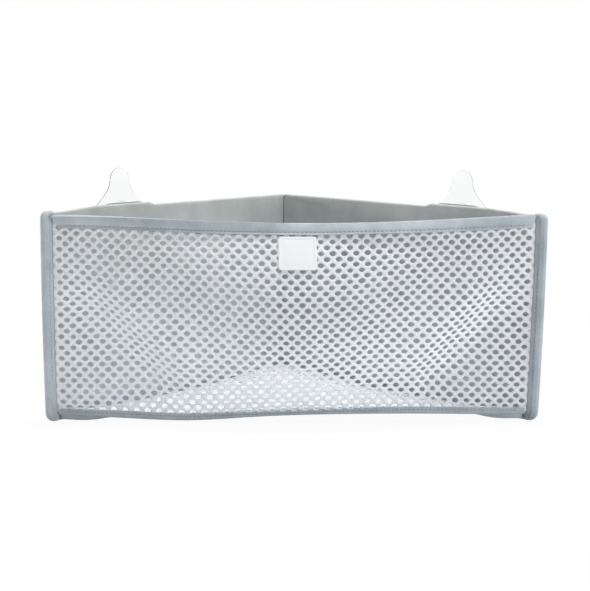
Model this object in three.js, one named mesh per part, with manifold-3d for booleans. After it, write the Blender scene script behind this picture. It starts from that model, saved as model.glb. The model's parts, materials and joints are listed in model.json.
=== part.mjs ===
// Corner basket for bath toys: two stiffened cloth walls that meet at a right angle and fold
// together like a book, a bulging net front and a net floor bound with tape, and two clear
// hooks on adhesive pads that hold the basket to the two walls of a bath corner.
// Millimetres, +Z up. The origin is under the middle of the basket, on the surface it stands on.

import * as THREE from "three";
import { mergeVertices } from "three/addons/utils/BufferGeometryUtils.js";
import Module from "manifold-3d";

// Cloth walls
const WALL_LENGTH = 270; // each wall, from the corner fold to its front edge
const WALL_HEIGHT = 162; // rim of the walls above the surface that the basket stands on
const CLOTH = 0.6; // coated cloth, folded over the board as a sleeve
const BOARD = 1.2; // stiffener board inside each sleeve
const BOARD_MARGIN = 10; // from the board to the sleeve's upright edges
const FOLD_GAP = 0.4; // from the fold line to each sleeve
const SEAT_GAP = 0.3; // clearance between pieces that lie against each other

// Binding tape
const TAPE = 0.8; // thickness of the tape
const TAPE_WIDTH = 10; // width of the tape once it is folded in half
const CORNER_ROUND = 6; // rounding of the two bound front corners
const FOOT_TAPE_START = 16; // from the fold line to the tape along a wall's foot
const CORNER_FLAP = 12; // width of each half of the tape over the back corner

// Net front and net floor
const NET = 1.2; // thickness of the knitted net
const NET_ACROSS = 42; // half lozenges across the front
const NET_UP = 12; // half lozenges up the front
const NET_GAP_SHARE = 0.5; // a gap's width as a share of its lozenge
const NET_SLACK = 0.3; // further room for the net's flat facets inside a folded tape
const RIM_DROP = 2; // front rim below the walls' rim at its two ends
const RIM_SAG = 7; // further drop of the front rim at its middle
const RIM_BOW = 8; // outward bow of the front rim at its middle
const BELLY = 26; // outward bulge of the front at half its height
const BELLY_FOOT_SHARE = 0.42; // half width of the bulge at the foot, as a share of the front's
const BELLY_SPREAD = 0.75; // what the bulge gains on that share from foot to rim
const BELLY_FALL = 0.8; // how fast the bulge falls off and dips beside its flanks
const BELLY_EDGE_POWER = 8; // how late the bulge dies out towards the bound edges
const FLOOR_CELLS = 12; // squares along each wall
const FLOOR_RISE = 3.5; // middle of the floor net above the surface that the basket stands on

// Sewn label
const LABEL = 0.8; // thickness
const LABEL_WIDTH = 29;
const LABEL_HEIGHT = 24;
const LABEL_CELLS = 4; // facets across and down the label

// Wall pads, hooks and straps
const PAD_SETBACK = 85; // from the wall's front edge to the middle of each pad
const PAD_DROP = 24; // middle of the pad's disc below the rim
const PAD_DIAMETER = 70;
const PAD = 1.2; // thickness of the clear disc
const PAD_SHOULDER = 59; // degrees from the disc's top to where the bell's flank joins it
const TAB_WIDTH = 20; // peel tab at the top of the pad
const TAB_RISE = 30; // tip of the tab above the rim
const NECK_HANDLE = 10; // how long the flank runs down before it turns out
const SHOULDER_HANDLE = 10.5; // how long the flank runs along the disc's own direction
const FILM_DIAMETER = 44;
const FILM = 0.5; // adhesive film on the back of the disc
const HOOK_WIDTH = 24;
const HOOK_PLATE = 1.5; // plate that joins the hook to its pad
const HOOK_PLATE_RISE = 4; // round top of that plate above the rim
const TONGUE = 2; // upright tongue that carries the strap
const TONGUE_HEIGHT = 18; // tongue above the saddle
const TONGUE_TAPER = 4; // tapered length at the tip of the tongue
const TONGUE_TIP = 0.8; // thickness of the tip
const SADDLE = 3; // depth of the saddle that joins tongue and plate
const STRAP = 0.8; // thickness of the hanging strap
const STRAP_HEIGHT = 30;
const STRAP_RISE = 2.5; // top of the strap above the rim
const STRAP_FLANGE = 8; // sewn width on each side
const STRAP_RAMP = 4; // sloped width between the flange and the raised middle
const STRAP_SIDE_ROOM = 1.5; // from the hook to where the strap starts to slope

// Smoothness of the round outlines
const FINE_ARC = 20;
const COARSE_ARC = 6;

// Sizes that follow from the ones above
const WALL = 2 * CLOTH + BOARD + 2 * SEAT_GAP;
const WRAP = SEAT_GAP + TAPE; // how far a folded tape stands proud of what it binds
const LEAF_START = WALL_LENGTH + WRAP - TAPE_WIDTH; // back edge of the front edge's tape
const HALF_TURN = Math.PI;
const DIAGONAL = Math.SQRT1_2;

// Middle of the front net where it meets the tape on the walls' front edges. The net's ends
// are cut parallel to the tape, which stands at 45 degrees to the front.
const SEAT_ALONG_WALL = WALL_LENGTH + WRAP - TAPE_WIDTH / 2;
const FRONT_DEPTH = DIAGONAL * (SEAT_ALONG_WALL + WRAP + SEAT_GAP);
const FRONT_HALF = DIAGONAL * (SEAT_ALONG_WALL - WRAP - SEAT_GAP);
const FRONT_FOOT = WRAP + SEAT_GAP;
const FRONT_RIM = WALL_HEIGHT - RIM_DROP - WRAP;
const NET_SLOT = NET / 2 + SEAT_GAP + NET_SLACK; // half width inside a tape folded over the net

// Heights and layers of the hook, from the wall's outer face to the adhesive film
const STRAP_FOOT = WALL_HEIGHT + STRAP_RISE - STRAP_HEIGHT;
const SADDLE_TOP = STRAP_FOOT - SEAT_GAP;
const FLANGE_INNER = WALL + SEAT_GAP;
const TONGUE_OUTER = WALL + SEAT_GAP + TONGUE;
const STRAP_INNER = TONGUE_OUTER + SEAT_GAP;
const PLATE_INNER = STRAP_INNER + STRAP + SEAT_GAP;
const PAD_INNER = PLATE_INNER + HOOK_PLATE + SEAT_GAP;
const FILM_INNER = PAD_INNER + PAD + SEAT_GAP;
const PAD_MIDDLE = WALL_HEIGHT - PAD_DROP;
const PAD_DISTANCE = WALL_LENGTH - PAD_SETBACK; // from the corner fold to the middle of each pad

const cloth = new THREE.MeshStandardMaterial({ color: "#a5aaa8", roughness: 0.85 });
const tape = new THREE.MeshStandardMaterial({ color: "#9aa6ae", roughness: 0.8 });
const net = new THREE.MeshStandardMaterial({ color: "#e6eaf1", roughness: 0.7 });
const labelCloth = new THREE.MeshStandardMaterial({ color: "#e2e8ea", roughness: 0.6 });
const boardPlastic = new THREE.MeshStandardMaterial({ color: "#cfd2cf", roughness: 0.5 });
const clearSheet = new THREE.MeshStandardMaterial({
  color: "#f2f6f7",
  roughness: 0.12,
  transparent: true,
  opacity: 0.35,
});
const clearHook = new THREE.MeshStandardMaterial({
  color: "#eef4f6",
  roughness: 0.08,
  transparent: true,
  opacity: 0.4,
});
const clearFilm = new THREE.MeshStandardMaterial({
  color: "#f6f8f4",
  roughness: 0.3,
  transparent: true,
  opacity: 0.3,
});

const wasm = await Module();
wasm.setup();

// A closed geometry as a solid that can be joined and cut.
function toSolid(geometry) {
  const bare = new THREE.BufferGeometry();
  const loose = geometry.index ? geometry.toNonIndexed() : geometry;
  bare.setAttribute("position", loose.getAttribute("position"));
  const merged = mergeVertices(bare);
  return new wasm.Manifold(
    new wasm.Mesh({
      numProp: 3,
      vertProperties: merged.getAttribute("position").array,
      triVerts: new Uint32Array(merged.index.array),
    }),
  );
}

// A joined or cut solid as a geometry again.
function toGeometry(solid) {
  const mesh = solid.getMesh();
  const geometry = new THREE.BufferGeometry();
  geometry.setAttribute("position", new THREE.BufferAttribute(mesh.vertProperties, mesh.numProp));
  geometry.setIndex(new THREE.BufferAttribute(mesh.triVerts, 1));
  geometry.computeVertexNormals();
  return geometry;
}

function shapeOf(points) {
  return new THREE.Shape(points.map(([x, y]) => new THREE.Vector2(x, y)));
}

// An outline in X and Y, raised from one height to another.
function raised(shape, from, to, curveSegments = COARSE_ARC) {
  const options = { depth: to - from, bevelEnabled: false, curveSegments };
  return new THREE.ExtrudeGeometry(shape, options).translate(0, 0, from);
}

// An outline in X and Z, thickened along Y.
function standing(shape, from, to, curveSegments = COARSE_ARC) {
  const options = { depth: to - from, bevelEnabled: false, curveSegments };
  const geometry = new THREE.ExtrudeGeometry(shape, options).rotateX(HALF_TURN / 2);
  return geometry.translate(0, to, 0);
}

// An outline in Y and Z, drawn out along X.
function drawnOut(shape, from, to, curveSegments = COARSE_ARC) {
  const options = { depth: to - from, bevelEnabled: false, curveSegments };
  const turn = new THREE.Matrix4().makeBasis(
    new THREE.Vector3(0, 1, 0),
    new THREE.Vector3(0, 0, 1),
    new THREE.Vector3(1, 0, 0),
  );
  return new THREE.ExtrudeGeometry(shape, options).applyMatrix4(turn).translate(from, 0, 0);
}

// A closed loop of profile points carried through rings of places, with both ends closed.
function loft(profile, rings) {
  const flat = profile.map(([x, y]) => new THREE.Vector2(x, y));
  const caps = THREE.ShapeUtils.triangulateShape(flat, []);
  const count = profile.length;
  const last = (rings.length - 1) * count;
  const index = [];
  for (const [a, b, c] of caps) {
    index.push(a, c, b);
    index.push(last + a, last + b, last + c);
  }
  for (let r = 0; r + 1 < rings.length; r++) {
    for (let k = 0; k < count; k++) {
      const here = r * count + k;
      const next = r * count + ((k + 1) % count);
      index.push(here, next, next + count);
      index.push(here, next + count, here + count);
    }
  }
  const geometry = new THREE.BufferGeometry();
  geometry.setAttribute("position", new THREE.Float32BufferAttribute(rings.flat(2), 3));
  geometry.setIndex(index);
  geometry.computeVertexNormals();
  return geometry;
}

// A thin sheet made of flat cells, each with or without a gap. A cell's corners run
// anticlockwise seen from its face, and place(corner, side) puts a corner on the face (side 1)
// or on the back (side -1). A gap has as many corners as its cell.
function sheetOf(cells, place) {
  const positions = [];
  const triangle = (...points) => points.forEach((p) => positions.push(...p));
  const quad = (a, b, c, d) => {
    triangle(a, b, c);
    triangle(a, c, d);
  };
  const edges = new Map();
  const nameOf = (from, to) => `${from.join()}>${to.join()}`;
  for (const { corners, gap } of cells) {
    corners.forEach((from, k) => {
      const to = corners[(k + 1) % corners.length];
      edges.set(nameOf(from, to), [from, to]);
      if (!gap) return;
      const inner = [gap[k], gap[(k + 1) % gap.length]];
      quad(place(from, 1), place(to, 1), place(inner[1], 1), place(inner[0], 1));
      quad(place(to, -1), place(from, -1), place(inner[0], -1), place(inner[1], -1));
      quad(place(inner[0], 1), place(inner[1], 1), place(inner[1], -1), place(inner[0], -1));
    });
    if (gap) continue;
    for (let k = 1; k + 1 < corners.length; k++) {
      const fan = [corners[0], corners[k], corners[k + 1]];
      triangle(...fan.map((corner) => place(corner, 1)));
      triangle(...fan.reverse().map((corner) => place(corner, -1)));
    }
  }
  for (const [from, to] of edges.values()) {
    if (edges.has(nameOf(to, from))) continue;
    quad(place(to, 1), place(from, 1), place(from, -1), place(to, -1));
  }
  const geometry = new THREE.BufferGeometry();
  geometry.setAttribute("position", new THREE.Float32BufferAttribute(positions, 3));
  geometry.computeVertexNormals();
  return geometry;
}

// A cell's corners drawn towards its middle.
function gapIn(corners) {
  const middle = [0, 1].map((axis) => corners.reduce((sum, c) => sum + c[axis], 0) / corners.length);
  return corners.map((c) => c.map((value, axis) => middle[axis] + NET_GAP_SHARE * (value - middle[axis])));
}

// The same geometry on the other side of X = 0, with its faces turned out again.
function mirrored(geometry) {
  const loose = geometry.index ? geometry.toNonIndexed() : geometry.clone();
  const position = loose.getAttribute("position");
  const flipped = [];
  for (let k = 0; k < position.count; k += 3) {
    for (const corner of [k, k + 2, k + 1]) {
      flipped.push(-position.getX(corner), position.getY(corner), position.getZ(corner));
    }
  }
  const geometryBack = new THREE.BufferGeometry();
  geometryBack.setAttribute("position", new THREE.Float32BufferAttribute(flipped, 3));
  geometryBack.computeVertexNormals();
  return geometryBack;
}

// The pieces of one wall are drawn for the right-hand wall: X runs along the wall from the fold
// line to the front edge, Y points out of the basket and Y = 0 is the wall's inner face.

// Cloth folded over the top of the board and sewn shut at the foot. Its front corners are
// rounded to fit inside the tape.
function wallSleeve() {
  const round = CORNER_ROUND - WRAP;
  const foldSteps = COARSE_ARC;
  const arch = (radius, from, to) =>
    Array.from({ length: foldSteps + 1 }, (_, k) => {
      const angle = from + ((to - from) * k) / foldSteps;
      return [WALL / 2 + radius * Math.cos(angle), radius * Math.sin(angle)];
    });
  const outer = arch(WALL / 2, 0, HALF_TURN);
  const inner = arch(WALL / 2 - CLOTH, HALF_TURN, 0);
  const foot = (y) => [y, -WALL_HEIGHT];
  const profile = [foot(WALL), ...outer, foot(0), foot(CLOTH), ...inner, foot(WALL - CLOTH)];
  const ringAt = (x, trim) =>
    profile.map(([y, rise]) => {
      const isFoot = rise === -WALL_HEIGHT;
      return [x, y, isFoot ? WRAP + trim : WALL_HEIGHT - WALL / 2 - trim + rise];
    });
  const rings = [ringAt(FOLD_GAP, 0)];
  for (let k = 0; k <= foldSteps; k++) {
    const angle = (HALF_TURN / 2) * (k / foldSteps);
    rings.push(ringAt(WALL_LENGTH - round * (1 - Math.sin(angle)), round * (1 - Math.cos(angle))));
  }
  return loft(profile, rings);
}

function wallBoard() {
  const bottom = WRAP;
  const top = WALL_HEIGHT - WALL / 2;
  const inner = CLOTH + SEAT_GAP;
  const outline = shapeOf([
    [BOARD_MARGIN, bottom],
    [WALL_LENGTH - BOARD_MARGIN, bottom],
    [WALL_LENGTH - BOARD_MARGIN, top],
    [BOARD_MARGIN, top],
  ]);
  return standing(outline, inner, inner + BOARD);
}

// A strip whose two front corners are rounded, from x to front and from foot to top.
function edgeOutline(x, front, foot, top, round) {
  const outline = new THREE.Shape();
  outline.moveTo(x, foot);
  outline.lineTo(front - round, foot);
  outline.absarc(front - round, foot + round, round, -HALF_TURN / 2, 0, false);
  outline.absarc(front - round, top - round, round, 0, HALF_TURN / 2, false);
  outline.lineTo(x, top);
  return outline;
}

// Tape folded round the wall's front edge, and round the ends of its rim and its foot.
function edgeBinding() {
  const top = WALL_HEIGHT + WRAP;
  const whole = edgeOutline(LEAF_START, WALL_LENGTH + WRAP, 0, top, CORNER_ROUND);
  const inside = edgeOutline(
    LEAF_START - TAPE_WIDTH,
    WALL_LENGTH + SEAT_GAP,
    TAPE,
    top - TAPE,
    CORNER_ROUND - TAPE,
  );
  const shell = toSolid(standing(whole, -WRAP, WALL + WRAP));
  return toGeometry(shell.subtract(toSolid(standing(inside, -SEAT_GAP, WALL + SEAT_GAP))));
}

// Tape folded round the wall's foot, which also holds the floor's edge.
function footBinding() {
  const channel = shapeOf([
    [-WRAP, 0],
    [WALL + WRAP, 0],
    [WALL + WRAP, TAPE_WIDTH],
    [WALL + SEAT_GAP, TAPE_WIDTH],
    [WALL + SEAT_GAP, TAPE],
    [-SEAT_GAP, TAPE],
    [-SEAT_GAP, TAPE_WIDTH],
    [-WRAP, TAPE_WIDTH],
  ]);
  return drawnOut(channel, FOOT_TAPE_START, LEAF_START - SEAT_GAP);
}

// Strap sewn to the wall by its two sides, raised in the middle so that a tongue fits behind it.
function hangingStrap() {
  const raisedHalf = HOOK_WIDTH / 2 + STRAP_SIDE_ROOM;
  const rampHalf = raisedHalf + STRAP_RAMP;
  const sewnHalf = rampHalf + STRAP_FLANGE;
  const under = [
    [-sewnHalf, FLANGE_INNER],
    [-rampHalf, FLANGE_INNER],
    [-raisedHalf, STRAP_INNER],
    [raisedHalf, STRAP_INNER],
    [rampHalf, FLANGE_INNER],
    [sewnHalf, FLANGE_INNER],
  ];
  const over = under.map(([x, y]) => [x, y + STRAP]).reverse();
  const section = shapeOf([...under, ...over].map(([x, y]) => [PAD_DISTANCE + x, y]));
  return raised(section, STRAP_FOOT, STRAP_FOOT + STRAP_HEIGHT);
}

// Clear disc with a peel tab at its top, drawn as a bell.
function padDisc() {
  const radius = PAD_DIAMETER / 2;
  const tabHalf = TAB_WIDTH / 2;
  const tabMiddle = WALL_HEIGHT + TAB_RISE - tabHalf;
  const shoulder = THREE.MathUtils.degToRad(PAD_SHOULDER);
  const joinX = radius * Math.sin(shoulder);
  const joinZ = PAD_MIDDLE + radius * Math.cos(shoulder);
  const turnX = joinX - SHOULDER_HANDLE * Math.cos(shoulder);
  const turnZ = joinZ + SHOULDER_HANDLE * Math.sin(shoulder);
  const neckZ = tabMiddle - NECK_HANDLE;
  const x = PAD_DISTANCE;
  const outline = new THREE.Shape();
  outline.moveTo(x + tabHalf, tabMiddle);
  outline.absarc(x, tabMiddle, tabHalf, 0, HALF_TURN, false);
  outline.bezierCurveTo(x - tabHalf, neckZ, x - turnX, turnZ, x - joinX, joinZ);
  outline.absarc(x, PAD_MIDDLE, radius, HALF_TURN / 2 + shoulder, 2.5 * HALF_TURN - shoulder, false);
  outline.bezierCurveTo(x + turnX, turnZ, x + tabHalf, neckZ, x + tabHalf, tabMiddle);
  return standing(outline, PAD_INNER, PAD_INNER + PAD, FINE_ARC);
}

function adhesiveFilm() {
  const outline = new THREE.Shape();
  outline.absarc(PAD_DISTANCE, PAD_MIDDLE, FILM_DIAMETER / 2, 0, 2 * HALF_TURN, false);
  return standing(outline, FILM_INNER, FILM_INNER + FILM, 2 * FINE_ARC);
}

// A plate with a round top, and in front of it a tongue that rises from a saddle.
function hook() {
  const half = HOOK_WIDTH / 2;
  const foot = SADDLE_TOP - SADDLE;
  const plateTop = WALL_HEIGHT + HOOK_PLATE_RISE;
  const plateOutline = new THREE.Shape();
  plateOutline.moveTo(PAD_DISTANCE - half, foot);
  plateOutline.lineTo(PAD_DISTANCE + half, foot);
  plateOutline.absarc(PAD_DISTANCE, plateTop - half, half, 0, HALF_TURN, false);
  const plate = standing(plateOutline, PLATE_INNER, PLATE_INNER + HOOK_PLATE, FINE_ARC);
  const tongueTop = SADDLE_TOP + TONGUE_HEIGHT;
  const tongue = shapeOf([
    [FLANGE_INNER, foot],
    [PLATE_INNER + HOOK_PLATE / 2, foot],
    [PLATE_INNER + HOOK_PLATE / 2, SADDLE_TOP],
    [TONGUE_OUTER, SADDLE_TOP],
    [TONGUE_OUTER, tongueTop - TONGUE_TAPER],
    [FLANGE_INNER + TONGUE_TIP, tongueTop],
    [FLANGE_INNER, tongueTop],
  ]);
  const upright = drawnOut(tongue, PAD_DISTANCE - half, PAD_DISTANCE + half);
  return toGeometry(toSolid(plate).add(toSolid(upright)));
}

// The pieces below belong to both walls. They are drawn with the fold line at X = Y = 0 and
// the front towards -Y.

// How far the front stands out at u, from -1 to 1 across, and v, from 0 at the foot to 1 at the
// rim. The bulge is widest at the rim and has a shallow dip beside each of its flanks.
function bulge(u, v) {
  const spread = u / (BELLY_FOOT_SHARE + BELLY_SPREAD * v);
  const across = (1 - spread ** 2) * Math.exp(-BELLY_FALL * spread ** 2);
  const edge = 1 - Math.abs(u) ** BELLY_EDGE_POWER;
  const bow = RIM_BOW * v * (1 - u ** 2) ** 2;
  return BELLY * across * edge * Math.sin(HALF_TURN * v) + bow;
}

// A point of the front, set back by depth from the middle of the net. Setting back also draws
// the point in, so that both ends stay parallel to the tape on the walls.
function frontPoint(u, v, depth) {
  const rim = FRONT_RIM - RIM_SAG * (1 - u ** 2);
  const x = u * (FRONT_HALF - depth);
  return [x, depth - FRONT_DEPTH - bulge(u, v), FRONT_FOOT + v * (rim - FRONT_FOOT)];
}

// Lozenges that stand on their points, with half lozenges along the edges.
function frontNet() {
  const cells = [];
  for (let i = 0; i <= NET_ACROSS; i++) {
    for (let j = 0; j <= NET_UP; j++) {
      if ((i + j) % 2 === 0) continue;
      const around = [
        [i, j - 1],
        [i + 1, j],
        [i, j + 1],
        [i - 1, j],
      ];
      const corners = around.filter(([a, b]) => a >= 0 && a <= NET_ACROSS && b >= 0 && b <= NET_UP);
      const whole = corners.length === around.length;
      cells.push({ corners, gap: whole ? gapIn(corners) : null });
    }
  }
  const place = ([i, j], side) => frontPoint((2 * i) / NET_ACROSS - 1, j / NET_UP, (-side * NET) / 2);
  return sheetOf(cells, place);
}

// Squares along both walls, halved along the front.
function floorNet() {
  const margin = WRAP + SEAT_GAP;
  const frontInner = FRONT_DEPTH - NET_SLOT - TAPE - SEAT_GAP;
  const cell = (frontInner / DIAGONAL - 2 * margin) / FLOOR_CELLS;
  const cells = [];
  for (let i = 0; i < FLOOR_CELLS; i++) {
    for (let j = 0; i + j < FLOOR_CELLS; j++) {
      const square = [
        [i, j],
        [i + 1, j],
        [i + 1, j + 1],
        [i, j + 1],
      ];
      const whole = i + j + 1 < FLOOR_CELLS;
      cells.push(whole ? { corners: square, gap: gapIn(square) } : { corners: [square[0], square[1], square[3]] });
    }
  }
  const place = ([i, j], side) => {
    const alongRight = margin + i * cell;
    const alongLeft = margin + j * cell;
    const x = DIAGONAL * (alongRight - alongLeft);
    return [x, -DIAGONAL * (alongRight + alongLeft), FLOOR_RISE - (side * NET) / 2];
  };
  return sheetOf(cells, place);
}

// Tape folded over the net's rim (v = 1) or foot (v = 0). Its section leans with the net.
function frontBinding(v) {
  const out = v === 1 ? 1 : -1;
  const reach = (TAPE_WIDTH - WRAP) / (FRONT_RIM - FRONT_FOOT);
  const leafHalf = NET_SLOT + TAPE;
  const section = [
    [-leafHalf, WRAP - TAPE_WIDTH],
    [-NET_SLOT, WRAP - TAPE_WIDTH],
    [-NET_SLOT, SEAT_GAP],
    [NET_SLOT, SEAT_GAP],
    [NET_SLOT, WRAP - TAPE_WIDTH],
    [leafHalf, WRAP - TAPE_WIDTH],
    [leafHalf, WRAP - TAPE / 2],
    [leafHalf - TAPE / 2, WRAP],
    [TAPE / 2 - leafHalf, WRAP],
    [-leafHalf, WRAP - TAPE / 2],
  ];
  const profile = out > 0 ? section : section.map(([depth, rise]) => [depth, -rise]).reverse();
  const rings = [];
  for (let i = 0; i <= NET_ACROSS; i++) {
    const u = (2 * i) / NET_ACROSS - 1;
    const edge = new THREE.Vector3(...frontPoint(u, v, 0));
    const inside = new THREE.Vector3(...frontPoint(u, v - out * reach, 0));
    const lean = edge.clone().sub(inside).multiplyScalar(out).normalize();
    rings.push(
      profile.map(([depth, rise]) => {
        const [x, y, z] = frontPoint(u, v, depth);
        return [x, y + lean.y * rise, z + lean.z * rise];
      }),
    );
  }
  return loft(profile, rings);
}

// Blank label on the net's face, under the middle of the rim's tape.
function sewnLabel() {
  const height = FRONT_RIM - RIM_SAG - FRONT_FOOT;
  const top = 1 - (TAPE_WIDTH - WRAP + SEAT_GAP) / height;
  const foot = top - LABEL_HEIGHT / height;
  const half = LABEL_WIDTH / 2 / FRONT_HALF;
  const cells = [];
  for (let i = 0; i < LABEL_CELLS; i++) {
    for (let j = 0; j < LABEL_CELLS; j++) {
      cells.push({
        corners: [
          [i, j],
          [i + 1, j],
          [i + 1, j + 1],
          [i, j + 1],
        ],
      });
    }
  }
  const face = NET / 2 + SEAT_GAP + LABEL / 2;
  const place = ([i, j], side) => {
    const u = half * ((2 * i) / LABEL_CELLS - 1);
    return frontPoint(u, foot + ((top - foot) * j) / LABEL_CELLS, -face - (side * LABEL) / 2);
  };
  return sheetOf(cells, place);
}

// Tape sewn round the outside of the corner, which is the hinge that the walls fold on.
function cornerTape() {
  const onWall = (side, along, out) => [side * DIAGONAL * (along + out), DIAGONAL * (out - along)];
  const inner = WALL + SEAT_GAP;
  const outer = inner + TAPE;
  const strip = shapeOf([
    onWall(1, CORNER_FLAP, inner),
    onWall(1, CORNER_FLAP, outer),
    onWall(1, -inner, outer),
    onWall(-1, -inner, outer),
    onWall(-1, CORNER_FLAP, outer),
    onWall(-1, CORNER_FLAP, inner),
    onWall(1, -inner, inner),
  ]);
  return raised(strip, WRAP, WALL_HEIGHT - WALL / 2);
}

const basket = new THREE.Group();

function addTo(group, name, geometry, material) {
  const mesh = new THREE.Mesh(geometry, material);
  mesh.name = name;
  group.add(mesh);
}

const wallPieces = [
  ["wall_sleeve", wallSleeve(), cloth],
  ["wall_board", wallBoard(), boardPlastic],
  ["edge_binding", edgeBinding(), tape],
  ["foot_binding", footBinding(), tape],
  ["hanging_strap", hangingStrap(), cloth],
  ["wall_pad", padDisc(), clearSheet],
  ["adhesive_film", adhesiveFilm(), clearFilm],
  ["hook", hook(), clearHook],
];
const sides = [
  { side: "left", turn: HALF_TURN / 4, shape: mirrored },
  { side: "right", turn: -HALF_TURN / 4, shape: (geometry) => geometry },
];
for (const { side, turn, shape } of sides) {
  const wall = new THREE.Group();
  wall.rotation.z = turn;
  for (const [name, geometry, material] of wallPieces) {
    addTo(wall, `${side}_${name}`, shape(geometry), material);
  }
  basket.add(wall);
}

addTo(basket, "front_net", frontNet(), net);
addTo(basket, "floor_net", floorNet(), net);
addTo(basket, "front_rim_binding", frontBinding(1), tape);
addTo(basket, "front_foot_binding", frontBinding(0), tape);
addTo(basket, "label", sewnLabel(), labelCloth);
addTo(basket, "corner_tape", cornerTape(), tape);

// The origin is under the middle of the basket's box.
const box = new THREE.Box3().setFromObject(basket);
basket.position.y = -(box.min.y + box.max.y) / 2;

const organizer = new THREE.Group();
organizer.add(basket);

export default organizer;
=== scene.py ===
"""Looks of a corner basket for bath toys: grey cloth walls, a bulging white net front and a net
floor, folded binding tape with its stitches, and clear pads with hooks behind the walls.

Lengths are in metres. u runs across the front from -1 at the left to 1 at the right, v runs up the
front from 0 at its foot to 1 at its rim. On a wall, along runs from the corner fold to the front
edge, out points away from the basket, and out = 0 is the wall's inner face.
"""

import json
import math

import bmesh
import bpy
import numpy as np
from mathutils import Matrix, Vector


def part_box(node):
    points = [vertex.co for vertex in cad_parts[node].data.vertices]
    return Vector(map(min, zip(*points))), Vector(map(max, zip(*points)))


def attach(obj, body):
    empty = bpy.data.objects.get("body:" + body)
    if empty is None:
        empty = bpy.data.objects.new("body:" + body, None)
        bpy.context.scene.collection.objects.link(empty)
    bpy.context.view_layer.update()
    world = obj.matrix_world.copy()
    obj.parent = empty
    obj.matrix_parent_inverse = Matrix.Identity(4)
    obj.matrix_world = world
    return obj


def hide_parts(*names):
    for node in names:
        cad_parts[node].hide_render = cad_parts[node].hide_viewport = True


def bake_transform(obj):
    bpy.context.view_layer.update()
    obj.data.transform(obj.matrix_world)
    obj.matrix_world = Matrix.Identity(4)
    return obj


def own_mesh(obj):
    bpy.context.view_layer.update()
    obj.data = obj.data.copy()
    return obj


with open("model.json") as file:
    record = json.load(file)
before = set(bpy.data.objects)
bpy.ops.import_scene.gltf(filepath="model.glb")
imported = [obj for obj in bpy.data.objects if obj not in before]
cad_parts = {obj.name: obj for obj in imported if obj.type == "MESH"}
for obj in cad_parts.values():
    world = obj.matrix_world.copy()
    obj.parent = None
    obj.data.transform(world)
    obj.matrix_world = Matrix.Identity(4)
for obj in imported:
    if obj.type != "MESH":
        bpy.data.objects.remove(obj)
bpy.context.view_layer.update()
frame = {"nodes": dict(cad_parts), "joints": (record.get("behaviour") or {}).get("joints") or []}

MM = 0.001
DIAGONAL = math.sqrt(0.5)
LEFT, RIGHT = -1, 1
SIDE_NAMES = {LEFT: "left", RIGHT: "right"}

# Places taken from the frame
JOINTS = {joint["name"]: joint for joint in frame["joints"]}
FOLD_Y = JOINTS["corner_fold"]["pos_m"][1]
WALL_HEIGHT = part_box("left_wall_sleeve")[1].z
EDGE_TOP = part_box("left_edge_binding")[1].z - 0.4 * MM  # the tape ends a little below its solid's top
FRONT_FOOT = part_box("front_net")[0].z
FRONT_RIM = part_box("front_net")[1].z
STRAP_FOOT, STRAP_TOP = (corner.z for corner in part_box("left_hanging_strap"))
PAD_FOOT, TAB_TIP = (corner.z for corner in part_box("left_wall_pad"))
FLOOR_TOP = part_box("floor_net")[1].z

# Cloth, tape and clearances
WALL_LENGTH = 270 * MM
CLOTH = 0.6 * MM
WALL = 3.0 * MM  # board, its clearances and the cloth on both sides of it
SEAT_GAP = 0.3 * MM
TAPE = 0.8 * MM
TAPE_WIDTH = 10 * MM
LEAF_SHARES = np.linspace(1, 0.3, 15)  # section points on a leaf, as shares from its fold to its free edge
RIM_STITCH, EDGE_STITCH = 0.8, 0.56  # where stitches run on a tape, as such shares
CROWN_START = 0.2  # where a leaf starts to swell
GROOVE_WIDTH = 0.07  # half width of the groove at the stitches
FLARE, FLARE_START, FLARE_LENGTH = 0.4, 0.05, 0.12  # the free edge past it, as a share of its depth
STITCH_TAPER = (0.55, 0.95, 1.0, 0.95, 0.55)  # radius along a stitch, as shares
STITCH_SIDES = 6
STITCH_ARCH, STITCH_SUNK = 0.9, 0.35  # how far its middle stands up and its ends lie in, in radii
WRAP = SEAT_GAP + TAPE  # what a tape adds on each side
LEAF_START = WALL_LENGTH + WRAP - TAPE_WIDTH  # where the tape on the wall's front edge starts
FOLD_GAP = 0.4 * MM  # from the fold to the cloth
FOOT_TAPE_START = 16 * MM  # from the fold, past the corner's flap
CORNER_FLAP = 12 * MM
CORNER_SEAMS = (2 * MM, 4.5 * MM)  # stitch rows on a flap, in from its edge
TOP_ROUND, FOOT_ROUND = 5 * MM, 7.5 * MM  # rounding of the bound corners
END_CLOSE = 0.75  # how far the tape's leaves close there, as a share of half its thickness
SLEEVE_FOOT = 2.4 * MM  # the cloth's lower edge, hidden in the foot's tape
SLEEVE_END = LEAF_START + 3.4 * MM  # the cloth's upright edge, hidden in the tape
PINCH_START = LEAF_START + 2.2 * MM  # where that edge starts to be pressed together
SLEEVE_PINCH = 0.5 * MM  # and how far
RIM_FALL = 0.4 * MM  # how far the wall's rim falls before it goes into the tape
FALL_START, FALL_FADE = 236 * MM, 22 * MM  # where along the wall, and over what length
STRAP_PULL = 2.0 * MM  # how far the strap pulls the wall's rim up
PULL_POWER = 8  # how quickly that fades down the wall
PULL_FRONT, PULL_FRONT_FADE = 70 * MM, 44 * MM  # its reach and its fade towards the front
PULL_BACK, PULL_BACK_FADE = 30 * MM, 5 * MM  # and towards the corner
INNER_SLACK, OUTER_SLACK = 1.0 * MM, 0.2 * MM  # how far the cloth may stand off the board
FLAT_FOOT, FLAT_CORNER = 12 * MM, 4 * MM  # strips at the foot and the corner where it lies flat
SLACK_FADE, SLACK_FADE_TOP = 25 * MM, 20 * MM  # lengths over which its slack sets in

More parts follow.
